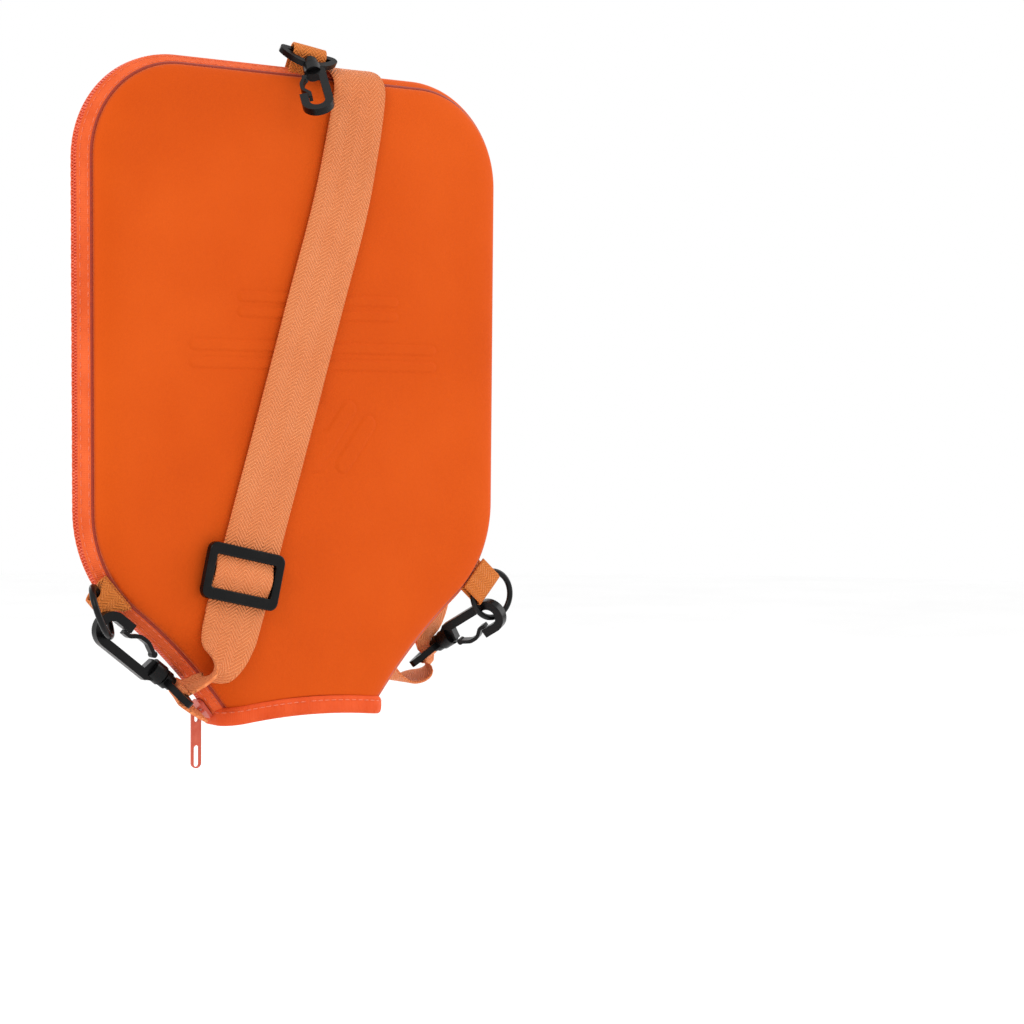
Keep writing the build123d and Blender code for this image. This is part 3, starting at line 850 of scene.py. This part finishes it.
POCKET_COLUMNS = 72
CROWN_ROWS = 16
pocket_heights = [POCKET_LOW + 3.0 * k for k in range(37)]
for k in range(1, CROWN_ROWS + 1):
    crown = POCKET_CROWN * math.sin(math.pi / 2 * k / CROWN_ROWS)
    pocket_heights.append(POCKET_LOW + POCKET_STRAIGHT + crown)
pocket_points, pocket_uvs = [], []
for z in pocket_heights:
    half = pocket_half_width(z)
    for column in range(POCKET_COLUMNS + 1):
        x = half * math.sin(math.pi / 2 * (2 * column / POCKET_COLUMNS - 1))
        pocket_points.append((x, pocket_depth(x, z), z))
        pocket_uvs.append((x, z))
pocket_faces = [face[::-1] for face in grid_faces(len(pocket_heights), POCKET_COLUMNS + 1)]
pocket = add_piece(
    "pocket_sheet", pocket_points, pocket_faces, NEOPRENE, replaces=["pocket_panel"],
    uvs=pocket_uvs, thick=POCKET_WALL,
)

# Distance out from the pocket sheet and height, once round the folded hem
MOUTH_SECTION = [
    (0.0, -0.9), (0.7, -1.4), (0.9, 4.0), (0.8, 7.4), (0.2, 8.2), (-1.6, 8.0), (-2.4, 4.0), (-2.0, -0.8),
]
MOUTH_SAG = 1.2
mouth_points, mouth_uvs = [], []
MOUTH_MIDDLE = POCKET_MOUTH_Z + 4
MOUTH_LOW = POCKET_MOUTH_Z + 1.6
mouth_half = pocket_half_width(MOUTH_MIDDLE)
MOUTH_COLUMNS = 96


def mouth_sag(x):
    """How far the pocket's mouth hangs at x."""
    return -MOUTH_SAG * (1 - (x / mouth_half) ** 2)


for column in range(MOUTH_COLUMNS + 1):
    x = mouth_half * math.sin(math.pi / 2 * (2 * column / MOUTH_COLUMNS - 1))
    for outset, height in MOUTH_SECTION:
        depth = pocket_depth(x, MOUTH_MIDDLE) + outset
        mouth_points.append((x, depth, MOUTH_LOW + mouth_sag(x) + height * 0.9))
        mouth_uvs.append((height * 2, column * 2.2))
mouth_faces = grid_faces(MOUTH_COLUMNS + 1, len(MOUTH_SECTION), wrap=True)
mouth_faces.append(tuple(range(len(MOUTH_SECTION))))
mouth_faces.append(tuple(MOUTH_COLUMNS * len(MOUTH_SECTION) + k for k in range(len(MOUTH_SECTION))))
mouth = add_piece(
    "pocket_hem", mouth_points, mouth_faces, HEM, replaces=["pocket_binding"],
    uvs=mouth_uvs,
)
outward(mouth.data)
mouth_line = []
HALF_SPOTS = 240
for k in range(-HALF_SPOTS, HALF_SPOTS + 1):
    x = (mouth_half - 2) * k / HALF_SPOTS
    depth = pocket_depth(x, MOUTH_MIDDLE) + 0.95
    mouth_line.append((Vector((x, depth, MOUTH_LOW + mouth_sag(x) + 5.6)), Vector((0, 1, 0))))
stitch_piece("pocket_stitches", [mouth_line])

# ---- Webbing -----------------------------------------------------------------------------------


def spline(values, position):
    """Catmull-Rom value at a position along a list of vectors."""
    index = min(int(position), len(values) - 2)
    share = position - index
    a = values[max(index - 1, 0)]
    b = values[index]
    c = values[index + 1]
    d = values[min(index + 2, len(values) - 1)]
    one = (c - a) / 2
    two = (d - b) / 2
    square, cube = share * share, share**3
    value = b * (2 * cube - 3 * square + 1)
    value += one * (cube - 2 * square + share)
    value += c * (3 * square - 2 * cube)
    value += two * (cube - square)
    return value


# Places across webbing, from edge to edge, close together where the edges round off
ACROSS = [-1, -0.97, -0.85, -0.6, -0.3, 0, 0.3, 0.6, 0.85, 0.97, 1]


def webbing(name, stations, material, nodes, thick=WEBBING, body="case", step=1.6, ripple=0.25):
    """Flat webbing through stations of (middle, direction across, width), with rounded edges."""
    middles = [Vector(station[0]) for station in stations]
    acrosses = [Vector(station[1]).normalized() for station in stations]
    widths = [Vector((station[2], 0, 0)) for station in stations]
    places = []
    for index in range(len(stations) - 1):
        count = max(3, int((middles[index + 1] - middles[index]).length / step))
        places += [index + k / count for k in range(count)]
    places.append(len(stations) - 1)
    line = [spline(middles, place) for place in places]
    points, uvs = [], []
    length = 0.0
    for index, place in enumerate(places):
        if index:
            length += (line[index] - line[index - 1]).length
        run = (line[min(index + 1, len(line) - 1)] - line[max(index - 1, 0)]).normalized()
        side = spline(acrosses, place)
        side = (side - run * side.dot(run)).normalized()
        face = side.cross(run)
        half = spline(widths, place).x / 2
        for layer in (1, -1):
            for share in ACROSS[::-layer]:
                curl = ripple * noise.noise(Vector((share * 0.8, length * 0.03, len(name))))
                plump = thick / 2 * (0.45 if abs(share) == 1 else 1)
                points.append(line[index] + side * (half * share) + face * (plump * layer + curl))
                uvs.append((half * share + 40, length))
    ring = 2 * len(ACROSS)
    faces = grid_faces(len(places), ring, wrap=True)
    faces.append(tuple(range(ring)))
    faces.append(tuple((len(places) - 1) * ring + k for k in range(ring)))
    piece = add_piece(name, points, faces, material, body=body, replaces=nodes, uvs=uvs)
    outward(piece.data)


X = (1, 0, 0)
EYE_REACH = 3.5
EYE_LOOP_WIDTH = 15.5


def round_bar(middle, along, over, reach, turns):
    """Middles of webbing bent round an eye's bar, by eighths of a turn from the bow's side."""
    places = []
    for turn in turns:
        angle = math.radians(45 * turn)
        places.append(middle + (along * math.cos(angle) + over * math.sin(angle)) * reach)
    return places


left_middle = LEFT_EYE + LEFT_ALONG * (EYE_WIRE / 2) - LEFT_BAR * 1.5
left_over = LEFT_BAR.cross(LEFT_ALONG)
right_middle = RIGHT_EYE + RIGHT_ALONG * (EYE_WIRE / 2)
right_over = RIGHT_BAR.cross(RIGHT_ALONG)

# The strap from its end at the left eye, up the front, over the closed end and down the back
strap_stations = [((-57.5, -12.0, 7.6), LEFT_BAR, 14), ((-63.0, -13.0, 10.4), LEFT_BAR, 15)]
for spot in round_bar(left_middle, LEFT_ALONG, left_over, EYE_REACH, (-2, -1, 0, 1, 2)):
    strap_stations.append((spot, LEFT_BAR, EYE_LOOP_WIDTH))
strap_stations += [
    ((-60.4, -20.2, 23.8), (0.5, 0.8, 0.25), 17),
    ((-55.0, -20.8, 27.2), (0.8, 0.5, 0.15), 20),
    ((-50.6, -19.4, 32.0), (0.95, 0.2, 0.1), 24),
    ((-46.4, -17.6, 40.4), X, 28),
    ((-42.0, STRAP_Y, 53.0), X, STRAP_WIDTH),
    ((-29.0, STRAP_Y, 96.0), X, STRAP_WIDTH),
    ((-14.4, STRAP_Y, 144.0), X, STRAP_WIDTH),
    ((0.0, STRAP_Y, 192.0), X, STRAP_WIDTH),
    ((14.0, STRAP_Y, 238.0), X, STRAP_WIDTH),
    ((20.4, STRAP_Y, 266.0), X, 29.5),
    ((24.2, STRAP_Y, 286.0), X, 29),
    ((25.4, -16.6, 297.0), X, 28.4),
    ((25.6, -12.4, 303.0), X, 28.2),
    ((25.6, -5.0, 306.0), X, 28),
    ((25.6, 3.0, 306.6), X, 28),
    ((25.6, 12.0, 304.6), X, 28),
    ((25.8, 19.4, 300.6), X, 28),
    ((26.0, 23.6, 293.0), X, 28.2),
    ((27.2, 25.2, 279.0), X, 28.6),
    ((44.0, 25.6, 230.0), X, STRAP_WIDTH),
    ((64.0, 26.4, 170.0), X, STRAP_WIDTH),
    ((86.0, 27.6, 110.0), X, STRAP_WIDTH),
    ((98.0, 29.4, 78.0), X, 29),
    ((104.2, 31.2, 54.0), (0.95, 0.25, 0.2), 26),
    ((103.6, 31.6, 39.0), RIGHT_BAR, 20),
    ((98.3, 31.1, 29.9), RIGHT_BAR, 16),
]
for spot in round_bar(right_middle, RIGHT_ALONG, right_over, EYE_REACH, (0.1, 1, 2, 3)):
    strap_stations.append((spot, RIGHT_BAR, EYE_LOOP_WIDTH))
strap_stations += [
    ((101.2, 33.6, 17.0), (0.7, 0.6, 0.35), 19),
    ((97.0, 33.8, 13.0), (0.4, 0.85, 0.2), 24),
    ((90.0, 34.0, 10.2), (0.1, 1, 0.05), 24),
    ((83.0, 33.6, 10.6), (0, 1, 0), 24),
    ((78.0, 32.6, 17.0), (0.2, 0.95, 0), 25),
    ((77.6, 31.2, 28.0), (0.6, 0.75, 0.1), 27),
    ((83.0, 29.6, 50.0), (0.95, 0.25, 0.2), 28),
    ((93.5, 27.2, 73.6), X, 28),
]
webbing(
    "sling_strap", strap_stations, STRAP,
    ["strap_front", "strap_over_end", "strap_back", "strap_left_loop", "strap_right_loop"],
)
layer_y = STRAP_Y + STRAP_LAYER
layer_stations = [
    ((-33.0, layer_y, 82.0), X, 28.6),
    ((-38.0, layer_y, 66.0), X, 28.8),
    ((-43.2, layer_y, 50.0), X, 28.6),
]
webbing("strap_second_layer", layer_stations, STRAP, ["strap_doubled_layer"], thick=1.0)


def glide_place(x, y, z):
    """A point in the adjuster's own plane, z out towards the front."""
    turned_x = x * math.cos(GLIDE_TILT) - y * math.sin(GLIDE_TILT)
    turned_z = x * math.sin(GLIDE_TILT) + y * math.cos(GLIDE_TILT)
    return Vector((GLIDE_CENTRE[0] + turned_x, GLIDE_BACK_Y - z, GLIDE_CENTRE[1] + turned_z))


# Place along the strap and height, over the adjuster's centre bar
HALF_BUMP = [(1.4, 2.5), (3.4, 2.0), (6.4, 1.0), (8.6, 0.9)]
bump_profile = [(-y, z) for y, z in HALF_BUMP[::-1]] + HALF_BUMP
glide_across = glide_place(1, 0, 0) - glide_place(0, 0, 0)
webbing(
    "strap_over_bar", [(glide_place(0, y, z), glide_across, 30.6) for y, z in bump_profile],
    STRAP, ["strap_at_glide"], thick=1.2, body="adjuster", step=0.6, ripple=0.0,
)

# ---- Tabs --------------------------------------------------------------------------------------


def hairpin_stations(fold, outward_way, across, width, length, gap):
    """A tab's two legs and its fold, from one root to the other."""
    thickness_way = Vector(across).cross(outward_way).normalized()
    reach = (gap + TAB_WEBBING) / 2
    stations = []
    for share in (1.0, 0.7, 0.4):
        stations.append((fold - outward_way * (length * share) + thickness_way * reach, across, width))
    for k in range(7):
        angle = math.pi * k / 6
        offset = thickness_way * (reach * math.cos(angle)) + outward_way * (reach * math.sin(angle) - reach)
        stations.append((fold + offset, across, width))
    for share in (0.4, 0.7, 1.0):
        stations.append((fold - outward_way * (length * share) - thickness_way * reach, across, width))
    return stations


right_run = Vector((0.6606, 0, 0.7507))
right_out = Vector((0.7507, 0, -0.6606))
right_fold = RIGHT_RING - right_out * RING_WIRE
webbing(
    "tab_right_web", hairpin_stations(right_fold, right_out, right_run, 18.0, 14.4, 3.9), TAB,
    ["tab_right"], thick=TAB_WEBBING, step=1.0, ripple=0.1,
)
left_run = Vector((-right_run.x, 0, right_run.z))
left_out = Vector((-right_out.x, 0, right_out.z))
left_base = Vector((-96.6, 0, 65.0))
# Depth from the middle, height off the shoulder's line, and share of the tab's width
left_path = [
    (-9.3, 0.8, 1.0), (-6.8, 3.9, 0.95), (-4.0, 4.7, 0.8), (-0.8, 6.0, 0.68), (-0.2, 8.6, 0.62),
    (-1.8, 11.9, 0.58), (-4.6, 13.0, 0.58), (-7.4, 12.0, 0.5), (-8.2, 8.2, 0.5), (-8.6, 5.0, 0.8),
    (-10.2, 2.0, 1.0),
]
left_stations = []
for depth, height, share in left_path:
    middle = left_base + Vector((0, depth, 0)) + left_out * height
    left_stations.append((middle, left_run, TAB_WIDTH * share))
webbing(
    "tab_left_web", left_stations, TAB, ["tab_left"], thick=TAB_WEBBING, step=0.9, ripple=0.1
)
top_bar = TOP_EYE + TOP_ALONG * (SMALL_HOOK * EYE_WIRE / 2)
top_across = (Vector((1, 0, 0)) - TOP_ALONG * TOP_ALONG.x).normalized()
top_out = Vector((0, -0.5, 0.866))
webbing(
    "tab_top_web", hairpin_stations(top_bar + top_out * 3.6, top_out, top_across, 16.2, 15.4, 4.8), TAB,
    ["tab_top"], thick=TAB_WEBBING, step=1.0, ripple=0.1,
)

# ---- Hardware carried over from the CAD --------------------------------------------------------

HOOK_PIECES = ("body", "gate", "eye")
HOOK_NODES = [f"hook_{side}_{piece}" for side in ("left", "right", "top") for piece in HOOK_PIECES]
CARRIED = {
    BLACK_PLASTIC: HOOK_NODES + ["tri_glide"],
    BLACK_METAL: ["ring_left", "ring_right"],
    LACQUER: ["zip_slider", "zip_pull"],
}
EDGE_SOFTNESS = {"tri_glide": 0.7, "zip_pull": 0.25, "zip_slider": 0.25}
HOOK_SOFTNESS = 0.9
for material, names in CARRIED.items():
    for node_name in names:
        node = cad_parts[node_name]
        if not node.material_slots:
            node.data.materials.append(material)
        for material_slot in node.material_slots:
            material_slot.material = material
        if node_name.startswith("ring"):
            continue
        merge = node.modifiers.new("flat_faces", "DECIMATE")
        merge.decimate_type = "DISSOLVE"
        merge.angle_limit = math.radians(4)
        soft = node.modifiers.new("soft_edges", "BEVEL")
        soft.width = EDGE_SOFTNESS.get(node_name, HOOK_SOFTNESS) * MM
        soft.segments = 3
        soft.angle_limit = math.radians(35)
        soft.harden_normals = True

# ---- Floor, light and camera -------------------------------------------------------------------

FLOOR_Z = -122.0
FLOOR_RINGS = 4
FLOOR_SPOKES = 48


def plain_surface(name, tint):
    """Matt paper for the floor."""
    n = Nodes(name)
    grain = n.noise(n.place("Object"), 6, 3)
    n.set(Roughness=0.9, Specular_IOR_Level=0.1)
    return n.finish(n.ramp(grain, [(0.3, tint), (0.7, colour(255, 255, 255))]))


floor_points = []
for ring in range(FLOOR_RINGS):
    for spoke in range(FLOOR_SPOKES):
        angle = 2 * math.pi * spoke / FLOOR_SPOKES
        floor_points.append((1000 * ring * math.cos(angle), 1000 * ring * math.sin(angle), FLOOR_Z))
floor_mesh = bpy.data.meshes.new("floor")
floor_faces = grid_faces(FLOOR_RINGS, FLOOR_SPOKES, wrap=True)
floor_mesh.from_pydata([Vector(point) * MM for point in floor_points], [], floor_faces)
floor_mesh.materials.append(plain_surface("pale_floor", colour(252, 252, 252)))
floor = bpy.data.objects.new("floor", floor_mesh)
bpy.context.scene.collection.objects.link(floor)

world = bpy.data.worlds.new("studio")
bpy.context.scene.world = world
world.use_nodes = True
world.node_tree.nodes["Background"].inputs["Color"].default_value = (1, 1, 1, 1)
world.node_tree.nodes["Background"].inputs["Strength"].default_value = 1.0
bpy.context.scene.view_settings.view_transform = "Standard"

TARGET = Vector((0, 0, 150)) * MM


def soft_light(name, place, size, power):
    """An area light that faces the case."""
    data = bpy.data.lights.new(name, "AREA")
    data.shape = "RECTANGLE"
    data.size, data.size_y = size
    data.energy = power
    light = bpy.data.objects.new(name, data)
    light.location = Vector(place) * MM
    light.rotation_euler = (TARGET - light.location).to_track_quat("-Z", "Y").to_euler()
    bpy.context.scene.collection.objects.link(light)


soft_light("key", (-900, -500, 900), (0.5, 0.5), 4)
soft_light("side", (1000, -300, 500), (0.4, 0.8), 4)
soft_light("rim", (200, 900, 800), (1.0, 0.6), 3)

# The camera looks down its own -Z, so BACK is the way from the case to the camera
EYE_PLACE = Vector((-604.765, -950.695, 141.578)) * MM
BACK = Vector((-0.61096, -0.79072, 0.03853)).normalized()
level_right = Vector((math.cos(math.radians(-37.69)), math.sin(math.radians(-37.69)), 0))
level_up = BACK.cross(level_right)
ROLL = math.radians(0.349)
camera_right = level_right * math.cos(ROLL) + level_up * math.sin(ROLL)
camera_up = level_up * math.cos(ROLL) - level_right * math.sin(ROLL)
camera_data = bpy.data.cameras.new("camera")
camera_data.lens = 83.907
camera_data.sensor_width = 36
camera = bpy.data.objects.new("camera", camera_data)
axes = Matrix((camera_right, camera_up, BACK)).transposed().to_4x4()
camera.matrix_world = Matrix.Translation(EYE_PLACE) @ axes
bpy.context.scene.collection.objects.link(camera)
bpy.context.scene.camera = camera
